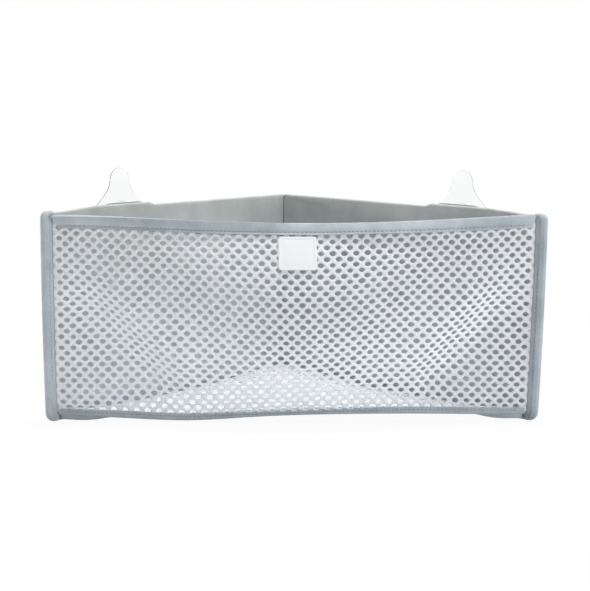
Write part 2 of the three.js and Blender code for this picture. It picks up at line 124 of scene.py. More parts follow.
# Front and floor
NET = 0.9 * MM
RIM_TAPE_HALF, FOOT_TAPE_HALF = 1.7 * MM, 1.4 * MM  # half thickness of the tapes folded over the net
SEAT_ALONG_WALL = WALL_LENGTH + WRAP - TAPE_WIDTH / 2
FRONT_DEPTH = DIAGONAL * (SEAT_ALONG_WALL + WRAP + SEAT_GAP)
FRONT_HALF = DIAGONAL * (SEAT_ALONG_WALL - WRAP - SEAT_GAP)
END_GAP = 0.3 * MM  # further room between the net's ends and the tape on the walls
END_TURN = 2.8 * MM  # how far the net's ends turn back along that tape
TURN_POWER, SLEW_POWER = 12, 6  # how late towards its ends the net turns, and its thickness slews round
TAPE_REACH = 0.14  # share of the front's height within which a tape on it lies
END_SHORT, END_SLANT = 0.012, 0.02  # how far before the net's ends the tapes on it end, and their slant, in u
RIM_RAISE, RIM_TILT = 1.3 * MM, 1.3 * MM  # how far the net's rim is raised, and tilted at its two ends
RIM_SAG = 5.7 * MM  # how far it hangs down in the middle
TILT_POWER, SAG_POWER = 5, 1.5
RIM_LEAN = 2.2 * MM  # how far the top of the rim's tape stands forward along its left half
RIM_FLARE = 1.2 * MM  # how far its stitches stand forward along its right half
LEAN_FOLD = 0.12  # share of the tape, from its fold, in which the lean sets in
LEAN_AT, LEAN_FADE = 0.05, 0.25  # where the two halves meet, and the fade beside it, in u
RIM_BOW = 8 * MM  # how far the rim stands out in the middle
BELLY = 26 * MM  # depth of the bulge
BELLY_FOOT_SHARE, BELLY_SPREAD = 0.42, 0.75  # its half width at the foot, and what the rim adds, in u
BELLY_FALL = 0.8  # how quickly it falls away to its flanks
BELLY_EDGE_POWER = 8  # how late it fades out at the front's ends
FOOT_DRAW = 0.012  # share by which the basket narrows at its foot
FOOT_RISE, FOOT_TILT = 5.9 * MM, 1.3 * MM  # net's lower edge above the solid's, and more to the right
FOOT_DIP, DIP_AT, DIP_WIDTH = 2.4 * MM, -0.45, 0.25  # where it hangs lowest
FOOT_HANG = 7 * MM  # what the foot's tape has below the net's edge
BEND_LENGTH = 1.5 * MM  # length over which that part is bent back along the middle
BEND_END, BEND_FADE = 0.93, 0.2  # where the bend ends, and how far before that it starts to fade
CREASE_TURN, CREASE_AT, CREASE_WIDTH = math.radians(80), 1.1 * MM, 1.0 * MM  # the step in it past the bend
NET_ACROSS, NET_UP = 84, 36  # half cells across and up the front
NET_DRIFT = 0.006  # how far its rows of holes wander, as a share of u
FLANK_TOP, FLANK_FOOT = (0.82, 0.62), (0.48, 0.15)  # ends of the fold on each flank, as (u, v)
FLANK_WIDTH = 21 * MM  # from its middle to where it has faded to a third
FLANK_STEP = 6.5 * MM  # depth of the fold
FLANK_DRAW = 0.28  # share by which the net's holes are drawn together across it
FLANK_ABOVE, FLANK_BELOW, FLANK_FADE = 0.2, 0.05, 0.3  # what it runs past its ends, as shares of its length
FLOOR_CELLS = 42  # half cells from the floor's front to the corner
FLOOR_OPENING, END_OPENING = 0.75, 0.1  # holes in the floor and along the front's ends, as shares
FLOOR_SEAM_AT = 0.013  # share of the front's height at which the floor meets it
FLOOR_SEAM_REACH = 22 * MM  # how far from there the floor follows the foot's tape
CORNER_RISE, CORNER_RISE_REACH = 7 * MM, 70 * MM  # how the floor is drawn up in the corner
HOLE_SIDES = 12  # a multiple of 4
HOLE_ACROSS, HOLE_UP = 0.525, 0.42  # half sizes of a hole, in half cells
HOLE_SPREAD, HOLE_SHIFT = 0.05, 0.025  # how much the holes' sizes and places vary
STRAND, SHOULDER, HOLE_RIM = 0.5, 0.42, 0.16  # a strand's, its shoulder's and a hole rim's half thickness

# Pads, hooks and straps, as layers outwards from the wall
PAD_ALONG = 185 * MM
PAD_DIAMETER = 70 * MM
PAD_MIDDLE = PAD_FOOT + PAD_DIAMETER / 2
PAD = 1.2 * MM  # thickness
PAD_ROUND = 0.4  # rounding of its rim, as a share of its thickness
PAD_SHOULDER = 59  # degrees from the disc's top to where the bell's flank joins it
TAB_WIDTH = 20 * MM
NECK_HANDLE, SHOULDER_HANDLE = 10 * MM, 10.5 * MM  # handles of the bell's flank at the tab and the disc
STRAP = 0.8 * MM
HOOK_WIDTH = 24 * MM
STRAP_ROOM, STRAP_RAMP, STRAP_FLANGE = 1.5 * MM, 4 * MM, 8 * MM  # beside the hook, from there outwards
STRAP_DROP, STRAP_DROP_REACH = 2.2 * MM, 9 * MM  # how its top falls towards its two ends
STRAP_SEAMS, STRAP_SEAM_END = (2 * MM, 5.5 * MM), 2 * MM  # stitch rows, in from its end and its top
HEM_SWELL, HEM_AT, HEM_WIDTH = 0.25 * MM, 3 * MM, 1.5 * MM  # the ridge of its two hems
FLANGE_INNER = WALL + SEAT_GAP  # inner faces of the strap's flanges, its raised part and the pad
STRAP_INNER = 5.6 * MM
PAD_INNER = 8.5 * MM

# Light and camera. A lamp has a name, a place, an aim, a width and a power in watts.
AMBIENT = 0.27
GROUND_REACH, GROUND_DROP = 6.0, 0.2 * MM
SHADE_NEAR, SHADE_FAR, SHADE_WHITE = 0.15, 0.6, 0.93  # the ground: this white within near, all white past far
LAMPS = (
    ("key_lamp", (1.7, -1.45, 0.5), (0, 0, 0.06), 1.2, 18.5),
    ("fill_lamp", (-1.9, 0.2, 0.25), (0, 0, 0.04), 0.4, 12),
    ("top_lamp", (0.1, 0.12, 1.9), (0, 0, 0), 0.5, 32),
)
CAMERA_PLACE = (-0.0714, -1.2754, 0.2713)
CAMERA_TURN = (math.pi / 2 - 0.1430, -0.0110, -0.0578)
CAMERA_LENS = 96.08


def linear(hex_colour):
    """An sRGB hex colour as linear red, green, blue and alpha 1."""
    channels = [int(hex_colour[k : k + 2], 16) / 255 for k in (1, 3, 5)]
    return (*[c / 12.92 if c <= 0.04045 else ((c + 0.055) / 1.055) ** 2.4 for c in channels], 1.0)


def add(tree, kind, inputs=None, **settings):
    """Adds one node: settings are its own properties, and inputs are values or sockets to link."""
    node = tree.nodes.new(kind)
    for name, value in settings.items():
        setattr(node, name, value)
    for key, value in (inputs or {}).items():
        if isinstance(value, bpy.types.NodeSocket):
            tree.links.new(value, node.inputs[key])
        else:
            node.inputs[key].default_value = value
    return node


def new_material(name):
    """An empty material with its output and one Principled shader linked to it."""
    material = bpy.data.materials.new(name)
    material.use_nodes = True
    tree = material.node_tree
    tree.nodes.clear()
    shader = add(tree, "ShaderNodeBsdfPrincipled")
    add(tree, "ShaderNodeOutputMaterial", {"Surface": shader.outputs["BSDF"]})
    return material, tree, shader


def ramp(tree, source, stops):
    """A colour ramp over source, with two stops of (place, hex colour)."""
    node = add(tree, "ShaderNodeValToRGB", {"Fac": source})
    for element, (place, colour) in zip(node.color_ramp.elements, stops):
        element.position = place
        element.color = linear(colour)
    return node.outputs["Color"]


def woven(name, dark, light, thread, roughness, bump, mottle=30 * MM):
    """Plain woven cloth. Its height is the product of two sine waves, one per thread direction,
    read from the piece's UV map in metres, and its colour drifts between two tones."""
    fibre_length, fibre_share, fibre_rise, weave_share = 1.1 * MM, 0.45, 0.5, 0.12
    material, tree, shader = new_material(name)
    uv = add(tree, "ShaderNodeUVMap", uv_map="cloth").outputs["UV"]
    turns = add(tree, "ShaderNodeVectorMath", {0: uv, 1: (math.pi / thread,) * 3}, operation="MULTIPLY")
    parts = add(tree, "ShaderNodeSeparateXYZ", {0: turns.outputs[0]})
    waves = [add(tree, "ShaderNodeMath", {0: parts.outputs[k]}, operation="SINE").outputs[0] for k in (0, 1)]
    weave = add(tree, "ShaderNodeMath", {0: waves[0], 1: waves[1]}, operation="MULTIPLY").outputs[0]
    place = add(tree, "ShaderNodeTexCoord").outputs["Object"]
    drift = add(
        tree,
        "ShaderNodeTexNoise",
        {"Vector": place, "Scale": 1 / mottle, "Detail": 5.0, "Roughness": 0.6},
    ).outputs["Fac"]
    fibre = add(
        tree,
        "ShaderNodeTexNoise",
        {"Vector": place, "Scale": 1 / fibre_length, "Detail": 2.0},
    ).outputs["Fac"]
    fibres = add(tree, "ShaderNodeMath", {0: fibre, 1: fibre_share, 2: drift}, operation="MULTIPLY_ADD")
    weave_and_fibres = {0: weave, 1: weave_share, 2: fibres.outputs[0]}
    tone = add(tree, "ShaderNodeMath", weave_and_fibres, operation="MULTIPLY_ADD")
    colour = ramp(tree, tone.outputs[0], [(0.35, dark), (1.0, light)])
    rise = add(tree, "ShaderNodeMath", {0: fibre, 1: fibre_rise, 2: weave}, operation="MULTIPLY_ADD")
    relief = add(tree, "ShaderNodeBump", {"Height": rise.outputs[0], "Strength": bump, "Distance": 0.15 * MM})
    tree.links.new(colour, shader.inputs["Base Color"])
    tree.links.new(relief.outputs["Normal"], shader.inputs["Normal"])
    shader.inputs["Roughness"].default_value = roughness
    shader.inputs["Sheen Weight"].default_value = 0.15
    shader.inputs["Sheen Roughness"].default_value = 0.4
    return material


def knitted(name, dark, light):
    """Warp-knitted net. Its strands run between the holes along both diagonals: they are cosine waves of the
    UV map, which counts cells, and they stand proud along their middles, where a painted highlight also makes
    them lighter. Light scatters through the thin yarn."""
    fuzz_length, ridge_and_highlight_share = 0.9 * MM, 0.12
    material, tree, shader = new_material(name)
    uv = add(tree, "ShaderNodeUVMap", uv_map="cloth").outputs["UV"]
    turns = add(tree, "ShaderNodeVectorMath", {0: uv, 1: (math.tau,) * 3}, operation="MULTIPLY")
    parts = add(tree, "ShaderNodeSeparateXYZ", {0: turns.outputs[0]})
    waves = []
    for operation in ("ADD", "SUBTRACT"):
        slant = add(tree, "ShaderNodeMath", {0: parts.outputs[0], 1: parts.outputs[1]}, operation=operation)
        waves.append(add(tree, "ShaderNodeMath", {0: slant.outputs[0]}, operation="COSINE").outputs[0])
    strand = add(tree, "ShaderNodeMath", {0: waves[0], 1: waves[1]}, operation="MAXIMUM").outputs[0]
    place = add(tree, "ShaderNodeTexCoord").outputs["Object"]
    fuzz = add(
        tree,
        "ShaderNodeTexNoise",
        {"Vector": place, "Scale": 1 / fuzz_length, "Detail": 3.0, "Roughness": 0.6},
    ).outputs["Fac"]
    # the strand wave raises each strand's middle and paints a highlight along it
    tone = add(tree, "ShaderNodeMath", {0: strand, 1: ridge_and_highlight_share, 2: fuzz}, operation="MULTIPLY_ADD")
    colour = ramp(tree, tone.outputs[0], [(0.3, dark), (0.8, light)])
    relief = add(tree, "ShaderNodeBump", {"Height": tone.outputs[0], "Strength": 0.5, "Distance": 0.3 * MM})
    tree.links.new(colour, shader.inputs["Base Color"])
    tree.links.new(relief.outputs["Normal"], shader.inputs["Normal"])
    shader.inputs["Roughness"].default_value = 0.75
    shader.inputs["Sheen Weight"].default_value = 0.2
    shader.inputs["Subsurface Weight"].default_value = 1.0
    shader.inputs["Subsurface Radius"].default_value = (1.0, 1.0, 1.0)
    shader.inputs["Subsurface Scale"].default_value = 1.5 * MM
    return material


def moulded(name, colour, roughness, grit=0.6 * MM, bump=0.08):
    """Plain plastic with the faint grit that moulding or calendering leaves."""
    material, tree, shader = new_material(name)
    place = add(tree, "ShaderNodeTexCoord").outputs["Object"]
    noise = add(tree, "ShaderNodeTexNoise", {"Vector": place, "Scale": 1 / grit, "Detail": 3.0})
    grain = noise.outputs["Fac"]
    relief = add(tree, "ShaderNodeBump", {"Height": grain, "Strength": bump, "Distance": 0.1 * MM})
    spread = 0.04
    levels = {"From Min": 0.3, "From Max": 0.7, "To Min": roughness - spread, "To Max": roughness + spread}
    shade = add(tree, "ShaderNodeMapRange", {"Value": grain, **levels})
    shader.inputs["Base Color"].default_value = linear(colour)
    tree.links.new(shade.outputs["Result"], shader.inputs["Roughness"])
    tree.links.new(relief.outputs["Normal"], shader.inputs["Normal"])
    return material


def clear(name, colour, roughness, ior, passed=1.0, cover=1.0):
    """Clear plastic: it passes most light, and its slow waviness bends what is behind it a little. Where its
    cover is below 1, the rest of the light goes straight through, so that what is behind it stays lit."""
    wave_length = 9 * MM
    material, tree, shader = new_material(name)
    place = add(tree, "ShaderNodeTexCoord").outputs["Object"]
    noise = add(tree, "ShaderNodeTexNoise", {"Vector": place, "Scale": 1 / wave_length, "Detail": 1.0})
    waves = noise.outputs["Fac"]
    relief = add(tree, "ShaderNodeBump", {"Height": waves, "Strength": 0.08, "Distance": 0.5 * MM})
    tree.links.new(relief.outputs["Normal"], shader.inputs["Normal"])
    shader.inputs["Base Color"].default_value = linear(colour)
    shader.inputs["Roughness"].default_value = roughness
    shader.inputs["IOR"].default_value = ior
    shader.inputs["Transmission Weight"].default_value = passed
    shader.inputs["Alpha"].default_value = cover
    return material


# Polyester cloth with a thin coating: matt, faintly mottled, warm grey. The threads of all the woven
# materials are drawn coarser than real ones, so that they show.
WALL_CLOTH = woven("coated_polyester_cloth", "#abb1ae", "#ced3d0", 0.9 * MM, 0.85, 0.35)
# Folded polyester tape: a cooler grey with a finer rib and a slight sheen
BINDING = woven("polyester_binding_tape", "#949fa7", "#bec7cd", 0.7 * MM, 0.7, 0.4, mottle=18 * MM)
# Warp-knitted polyester net: bluish white yarn
NET_YARN = knitted("knitted_polyester_net", "#c4cbd7", "#f5f7fc")
# Spun polyester sewing thread, darker than the tape: partly its own tone, partly painted shade of the needle
# holes along each seam
THREAD = woven("polyester_thread", "#727d86", "#8d98a0", 0.5 * MM, 0.6, 0.3)
# Smooth coated tag cloth, off white
TAG = moulded("coated_tag_cloth", "#f1f4f6", 0.45, 0.8 * MM, 0.1)
# Extruded polypropylene sheet
BOARD = moulded("polypropylene_board", "#cfd2cf", 0.45)
# Pressed clear vinyl sheet, clear moulded hook and clear acrylic adhesive: nearly invisible, with faint
# edges, so their IOR is set below the real one
VINYL = clear("clear_vinyl_sheet", "#fbfcfc", 0.06, 1.27)
HOOK_PLASTIC = clear("clear_polycarbonate", "#f6f9fa", 0.04, 1.4, passed=0.85, cover=0.35)
ADHESIVE = clear("clear_acrylic_adhesive", "#fbfcf8", 0.2, 1.2, cover=0.25)


def build(name, points, faces, uv, material, sharp=40):
    """A smooth mesh object from points, groups of faces and one UV pair for each point. Its faces are
    turned outwards, and edges sharper than the given angle in degrees stay sharp."""
    mesh = bpy.data.meshes.new(name)
    polygons = [face for group in faces for face in group.tolist()]
    mesh.from_pydata(points.reshape(-1, 3).tolist(), [], polygons)
    corners = np.zeros(len(mesh.loops), np.int32)
    mesh.loops.foreach_get("vertex_index", corners)
    layer = mesh.uv_layers.new(name="cloth")
    layer.data.foreach_set("uv", uv.reshape(-1, 2)[corners].astype(np.float32).ravel())
    work = bmesh.new()
    work.from_mesh(mesh)
    bmesh.ops.recalc_face_normals(work, faces=work.faces)
    work.to_mesh(mesh)
    work.free()
    mesh.polygons.foreach_set("use_smooth", np.ones(len(mesh.polygons), bool))
    mesh.set_sharp_from_angle(angle=math.radians(sharp))
    mesh.materials.append(material)
    piece = bpy.data.objects.new(name, mesh)
    bpy.context.scene.collection.objects.link(piece)
    return piece


def grid(rows, columns, wrap_columns=False):
    """The four corners of each face of a grid of points, rows by columns."""
    steps = columns if wrap_columns else columns - 1
    r, c = np.meshgrid(np.arange(rows - 1), np.arange(steps), indexing="ij")
    c2 = (c + 1) % columns
    here, above = r * columns, (r + 1) * columns
    return np.stack([here + c, above + c, above + c2, here + c2], -1).reshape(-1, 4)


def lengths(points, axis):
    """Running length along one axis of a grid of points."""
    steps = np.linalg.norm(np.diff(points, axis=axis), axis=-1)
    return np.concatenate([np.zeros_like(np.take(steps, [0], axis)), np.cumsum(steps, axis)], axis)


def surface_uv(points):
    """UV in metres for a grid of points: the running length along each of its two directions."""
    return np.stack([lengths(points, 0), lengths(points, 1)], -1)


def smooth(t):
    """A smooth step from 0 to 1."""
    t = np.clip(t, 0, 1)
    return t * t * (3 - 2 * t)


def drawn_in(height):
    """The share of its reach from the fold that the basket keeps at a height. It narrows towards the foot
    with the square of the depth below the rim."""
    return 1 - FOOT_DRAW * np.clip(1 - height / WALL_HEIGHT, 0, 1) ** 2


def on_wall(side, along, out, height):
    """Places on a wall: along and out are turned 45 degrees about the fold, to the given side, and drawn
    in towards it at the foot."""
    along, out, height = np.broadcast_arrays(along, out, height)
    drawn = drawn_in(height)
    x = side * DIAGONAL * (along + out) * drawn
    y = FOLD_Y + DIAGONAL * (out - along) * drawn
    return np.stack([x, y, height], -1)


def channel(name, outer, inner, material, closed_ends=False):
    """A folded tape or a strip with thickness: an outer and an inner grid of stations by section points,
    joined along the two free edges. At each end the two grids are joined, or each is closed by itself
    by tying every section point to its opposite."""
    rows, columns = outer.shape[:2]
    inside = rows * columns
    faces = [grid(rows, columns), grid(rows, columns) + inside]
    run = np.arange(rows - 1) * columns
    for column in (0, columns - 1):
        a = run + column
        faces.append(np.stack([a, a + columns, a + columns + inside, a + inside], -1))
    for first in (0, inside - columns):
        last = first + columns - 1
        if closed_ends:
            k = np.arange(columns // 2 - 1)
            cap = np.stack([first + k, first + k + 1, last - k - 1, last - k], -1)
            faces += [cap, cap + inside, np.array([[first, last, last + inside, first + inside]])]
        else:
            a = first + np.arange(columns - 1)
            faces.append(np.stack([a, a + 1, a + 1 + inside, a + inside], -1))
    uv = np.stack([surface_uv(outer), surface_uv(inner)])
    return build(name, np.stack([outer, inner]), faces, uv, material)


def plate(name, outline, profile, place, material):
    """A flat piece with a shaped rim. The outline is scaled about the origin and set to a layer at each
    (share, layer) of the profile, from the middle of the back round the rim to the middle of the face.
    place puts (x, y, layer) in the frame."""
    shares, layers = np.array(profile).T
    rings = shares[:, None, None] * outline
    rows, columns = rings.shape[:2]
    layer = np.broadcast_to(layers[:, None], rings.shape[:2])
    flat = np.concatenate([rings.reshape(-1, 2), np.zeros((2, 2))])
    points = place(flat[:, 0], flat[:, 1], np.concatenate([layer.ravel(), layers[[0, -1]]]))
    k = np.arange(columns)
    after = np.roll(k, -1)
    back, face = rows * columns, rows * columns + 1
    last = (rows - 1) * columns
    fans = [
        np.stack([k, after, np.full_like(k, back)], -1),
        np.stack([last + after, last + k, np.full_like(k, face)], -1),
    ]
    return build(name, points, [grid(rows, columns, wrap_columns=True), *fans], flat, material)


def fold_section(half, stitch, crown, seam):
    """Section of a tape folded in half, as (across, rise) of its outer and its inner face. The top of the
    fold is at rise 0. A leaf swells by the crown, like half a sine wave, between the fold and the stitches.
    They draw it in by the depth of the seam, and its free edge flares out again."""
    swell = crown * np.sin(math.pi * np.clip((stitch - LEAF_SHARES) / (stitch - CROWN_START), 0, 1))
    past = LEAF_SHARES - stitch
    groove = np.exp(-((past / GROOVE_WIDTH) ** 2)) - FLARE * smooth((past - FLARE_START) / FLARE_LENGTH)
    puff = swell - seam * groove
    angle = np.linspace(math.pi, 0, 10)
    sections = []
    for inset in (0, TAPE):
        radius = half - inset
        arc = np.stack([radius * np.cos(angle), radius * np.sin(angle) - half], -1)
        leaf = np.stack([-(radius + puff), -LEAF_SHARES * TAPE_WIDTH], -1)
        sections.append(np.concatenate([leaf, arc, leaf[::-1] * (-1, 1)]))
    return sections


def stitch_column(stitch):
    """The section point of a folded tape that lies nearest to the stitches of its first leaf."""
    return int(np.argmin(np.abs(LEAF_SHARES - stitch)))


def sew(name, rows, material, pitch=3.2 * MM, share=0.72, radius=0.3 * MM):
    """Rows of stitches. Each row is a line on a surface and the surface's outward directions. A stitch
    is a short round bar whose middle follows half a sine wave, so that both of its ends dip in."""
    rings, sides = len(STITCH_TAPER), STITCH_SIDES
    t = np.linspace(0, 1, rings)
    turn = np.arange(sides) * math.tau / sides
    thick = radius * np.array(STITCH_TAPER)[:, None, None]
    bars, uvs = [], []
    for line, outward in rows:
        run = lengths(line, 0)
        count = max(1, int(run[-1] / pitch))
        starts = (np.arange(count) + (1 - share) / 2) / count
        at = (starts[:, None] + t * share / count) * run[-1]
        middle = np.stack([np.interp(at, run, line[:, k]) for k in range(3)], -1)
        up = np.stack([np.interp(at, run, outward[:, k]) for k in range(3)], -1)
        ahead = np.gradient(middle, axis=1)
        across = np.cross(up, ahead)
        across /= np.linalg.norm(across, axis=-1, keepdims=True)
        middle = middle + up * (radius * (STITCH_ARCH * np.sin(math.pi * t) - STITCH_SUNK))[:, None]
        ring = across[:, :, None] * np.cos(turn)[:, None] + up[:, :, None] * np.sin(turn)[:, None]
        bars.append((middle[:, :, None] + thick * ring).reshape(-1, 3))
        uvs.append(np.stack(np.broadcast_arrays(at[:, :, None], turn * radius), -1).reshape(-1, 2))
    points = np.concatenate(bars)
    bar = rings * sides
    first = (np.arange(len(points) // bar) * bar)[:, None, None]
    flanks = grid(rings, sides, wrap_columns=True) + first
    ends = np.stack([np.arange(sides), np.arange(bar - sides, bar)]) + first
    faces = [flanks.reshape(-1, 4), ends.reshape(-1, sides)]
    return build(name, points, faces, np.concatenate(uvs), material)


def outward_from(points, other):
    """Unit directions to one row of points from another."""
    away = points - other
    return away / np.linalg.norm(away, axis=-1, keepdims=True)


def facing_rows(outer, column):
    """Stitch rows on both leaves of a folded tape: the same seam seen from its two sides."""
    first, second = outer[:, column], outer[:, -1 - column]
    return [(first, outward_from(first, second)), (second, outward_from(second, first))]


def ripple(along, height):
    """Slack in the cloth, from 0 to 1: a product of two slow waves along and up the wall, and a finer
    one that runs across them. Their sizes are lengths per radian."""
    slow_along, slow_up, sway_up = 23 * MM, 29 * MM, 31 * MM
    fine_along, fine_up = 9 * MM, 13 * MM
    sway = 1.3 * np.sin(height / sway_up)
    slow = np.sin(along / slow_along + sway) * np.sin(height / slow_up + 0.7)
    fine = np.sin(along / fine_along - height / fine_up)
    return 0.5 + 0.4 * slow + 0.1 * fine


def rim_change(along):
    """How far a wall's rim stands above its plain height: pulled up by the strap, with a slow fade towards
    the front and a quick one towards the corner, and let down before it goes into the tape."""
    away = along - PAD_ALONG
    pull = smooth((PULL_FRONT - away) / PULL_FRONT_FADE) * smooth((away + PULL_BACK) / PULL_BACK_FADE)
    return STRAP_PULL * pull - RIM_FALL * smooth((along - FALL_START) / FALL_FADE)


def wall_sleeve(side):
    """Cloth folded over the top of the board: up the outer face, over half a circle and down the inner
    face. Between its sewn edges it stands off the board by the ripple, and the tape on its front edge
    presses its two layers together."""
    along = np.linspace(FOLD_GAP, SLEEVE_END, 90)[:, None]
    bend = WALL_HEIGHT - WALL / 2
    rise = np.linspace(SLEEVE_FOOT, bend, 34)
    angle = np.linspace(0, math.pi, 9)[1:-1]
    height = np.concatenate([rise, bend + WALL / 2 * np.sin(angle), rise[::-1]])
    lean = np.concatenate([np.ones_like(rise), np.cos(angle), -np.ones_like(rise)])
    free_up = smooth((height - FLAT_FOOT) / SLACK_FADE) * smooth((bend - height) / SLACK_FADE_TOP)
    free_along = smooth((along - FLAT_CORNER) / SLACK_FADE) * smooth((LEAF_START - along) / SLACK_FADE)
    slack = np.where(lean < 0, INNER_SLACK, OUTER_SLACK) * ripple(along, height) * free_up * free_along
    pinch = SLEEVE_PINCH * smooth((along - PINCH_START) / (SLEEVE_END - PINCH_START))
    change = rim_change(along) * (height / WALL_HEIGHT) ** PULL_POWER
    grids = []
    for inset in (0, CLOTH):
        out = WALL / 2 + lean * (WALL / 2 - inset + slack - pinch)
        drop = np.where(np.abs(lean) < 1, inset * np.sqrt(1 - lean**2), 0)
        grids.append(on_wall(side, along, out, height - drop + change))
    return channel(f"{SIDE_NAMES[side]}_wall_cloth", *grids, WALL_CLOTH)


def edge_grid(side, inset, section):
    """One face of the tape round a wall's front edge. Its stations climb the edge. At both ends the front
    turns back on a quarter circle, and the two leaves close in on a smaller one."""
    half = WALL / 2 + WRAP
    foot, top = inset, EDGE_TOP - inset
    turn = np.linspace(0, math.pi / 2, 9)
    quarter = np.stack([1 - np.cos(turn), 1 - np.sin(turn)])
    low, high = (FOOT_ROUND - inset) * quarter, (TOP_ROUND - inset) * quarter
    between = np.linspace(foot + low[0, -1], top - high[0, -1], 32)[1:-1]
    height = np.concatenate([foot + low[0], between, top - high[0, ::-1]])[:, None]
    setback = np.concatenate([low[1], np.zeros(len(between)), high[1, ::-1]])[:, None]
    close = END_CLOSE * half
    end = np.minimum(np.minimum(height - foot, top - height) / close, 1)
    thin = 1 - close / half * (1 - np.sqrt(1 - (1 - end) ** 2))
    straight = TAPE_WIDTH - half
    leaf = np.minimum(section[:, 1] + half, 0) / straight
    bend = np.maximum(section[:, 1] + half, 0)
    along = LEAF_START + straight + leaf * (straight - setback) + bend - setback
    return on_wall(side, along, WALL / 2 + section[:, 0] * thin, height)


def edge_binding(side):
    """The tape round a wall's front edge and its stitches, which show on both leaves. They start and end
    some stations in from the tape's ends."""
    name = SIDE_NAMES[side]
    sections = fold_section(WALL / 2 + WRAP, EDGE_STITCH, crown=0.5 * MM, seam=0.35 * MM)
    outer, inner = (edge_grid(side, inset, section) for inset, section in zip((0, TAPE), sections))
    piece = channel(f"{name}_edge_tape", outer, inner, BINDING, closed_ends=True)
    first, last = 13, -15
    rows = facing_rows(outer[first:last], stitch_column(EDGE_STITCH))
    return piece, sew(f"{name}_edge_stitches", rows, THREAD)


def foot_binding(side):
    """The tape round a wall's foot, straight from the corner to the edge tape, and its stitches."""
    name = SIDE_NAMES[side]
    along = np.linspace(FOOT_TAPE_START, LEAF_START - SEAT_GAP, 60)[:, None]
    sections = fold_section(WALL / 2 + WRAP, RIM_STITCH, crown=0.05 * MM, seam=0.2 * MM)
    outer, inner = (
        on_wall(side, along, WALL / 2 + section[:, 0], -section[:, 1]) for section in sections
    )
    piece = channel(f"{name}_foot_tape", outer, inner, BINDING)
    rows = facing_rows(outer, stitch_column(RIM_STITCH))
    return piece, sew(f"{name}_foot_stitches", rows, THREAD)


def hanging_strap(side):
    """A strap sewn to the wall by its two flanges. Between them a smooth step lifts it off the wall, so
    that the hook's tongue fits behind it. Each hem is a bell-shaped ridge."""
    name = SIDE_NAMES[side]
    raised = HOOK_WIDTH / 2 + STRAP_ROOM
    half = raised + STRAP_RAMP + STRAP_FLANGE
    across = np.linspace(-half, half, 61)[:, None]
    top = STRAP_TOP - STRAP_DROP * (1 - smooth((half - np.abs(across)) / STRAP_DROP_REACH))
    height = STRAP_FOOT + np.linspace(0, 1, 16) * (top - STRAP_FOOT)
    lift = (STRAP_INNER - FLANGE_INNER) * smooth((raised + STRAP_RAMP - np.abs(across)) / STRAP_RAMP)
    from_edge = np.minimum(height - STRAP_FOOT, top - height)
    hem = HEM_SWELL * np.exp(-(((from_edge - HEM_AT) / HEM_WIDTH) ** 2))
    outer = on_wall(side, PAD_ALONG + across, FLANGE_INNER + lift + STRAP + hem, height)
    inner = on_wall(side, PAD_ALONG + across, FLANGE_INNER + lift, height)
    piece = channel(f"{name}_strap_cloth", outer, inner, WALL_CLOTH)
    outwards = on_wall(side, 0, 1, 0) - on_wall(side, 0, 0, 0)
    climb = np.linspace(STRAP_FOOT, STRAP_TOP - STRAP_SEAM_END, 20)[1:-1]
    seams = np.array(STRAP_SEAMS)
    rows = []
    for place in (*(seams - half), *(half - seams[::-1])):
        line = on_wall(side, PAD_ALONG + place, FLANGE_INNER + STRAP, climb)
        rows.append((line, np.broadcast_to(outwards, line.shape)))
    return piece, sew(f"{name}_strap_stitches", rows, THREAD, pitch=2.8 * MM)


def corner_tape():
    """The strip over the outside of the corner: a flap on each wall and a quarter circle about the fold."""
    flap = np.linspace(CORNER_FLAP, 0, 9)
    angle = np.linspace(0.75 * math.pi, 0.25 * math.pi, 11)[1:-1, None]
    height = np.linspace(WRAP, WALL_HEIGHT - WALL / 2, 40)
    face = WALL + SEAT_GAP + TAPE
    grids = []
    for radius in (face, face - TAPE):
        left = on_wall(LEFT, flap[:, None], radius, height)
        right = on_wall(RIGHT, flap[::-1, None], radius, height)
        bend = np.broadcast_arrays(radius * np.cos(angle), FOLD_Y + radius * np.sin(angle), height)
        grids.append(np.concatenate([left, np.stack(bend, -1), right]))
    piece = channel("corner_fold_tape", *grids, BINDING)
    climb = height[1:-1]
    rows = []
    for side in (LEFT, RIGHT):
        for inset in CORNER_SEAMS:
            along = CORNER_FLAP - inset
            line = on_wall(side, along, face, climb)
            rows.append((line, outward_from(on_wall(side, along, 2 * WALL, climb), line)))
    return piece, sew("corner_fold_stitches", rows, THREAD)


def flank_fold(u, v):
    """The fold that runs down each flank of the front: the distance from it in widths, positive towards the
    belly, and how strong the fold is there, which is a bell across it that fades out past its ends."""
    size = np.array([FRONT_HALF, FRONT_RIM - FRONT_FOOT])
    top, foot = FLANK_TOP * size, FLANK_FOOT * size
    length = np.linalg.norm(foot - top)
    along = (foot - top) / length
    x, z = np.abs(u) * size[0] - top[0], v * size[1] - top[1]
    down = (x * along[0] + z * along[1]) / length
    away = (x * along[1] - z * along[0]) / FLANK_WIDTH
    ends = smooth((down + FLANK_ABOVE) / FLANK_FADE) * smooth((1 + FLANK_BELOW - down) / FLANK_FADE)
    return away, np.exp(-(away**2)) * ends


def bulge(u, v):
    """How far the front stands out: a bell across, which dips beside its flanks and widens towards the
    rim, times half a sine wave up the front, plus the rim's own bow and the step at the flanks' folds."""
    spread = u / (BELLY_FOOT_SHARE + BELLY_SPREAD * v)
    across = (1 - spread**2) * np.exp(-BELLY_FALL * spread**2)
    edge = 1 - np.abs(u) ** BELLY_EDGE_POWER
    away, fold = flank_fold(u, v)
    belly = BELLY * across * edge * np.sin(math.pi * v)
    return belly + RIM_BOW * v * (1 - u**2) ** 2 + FLANK_STEP * away * fold


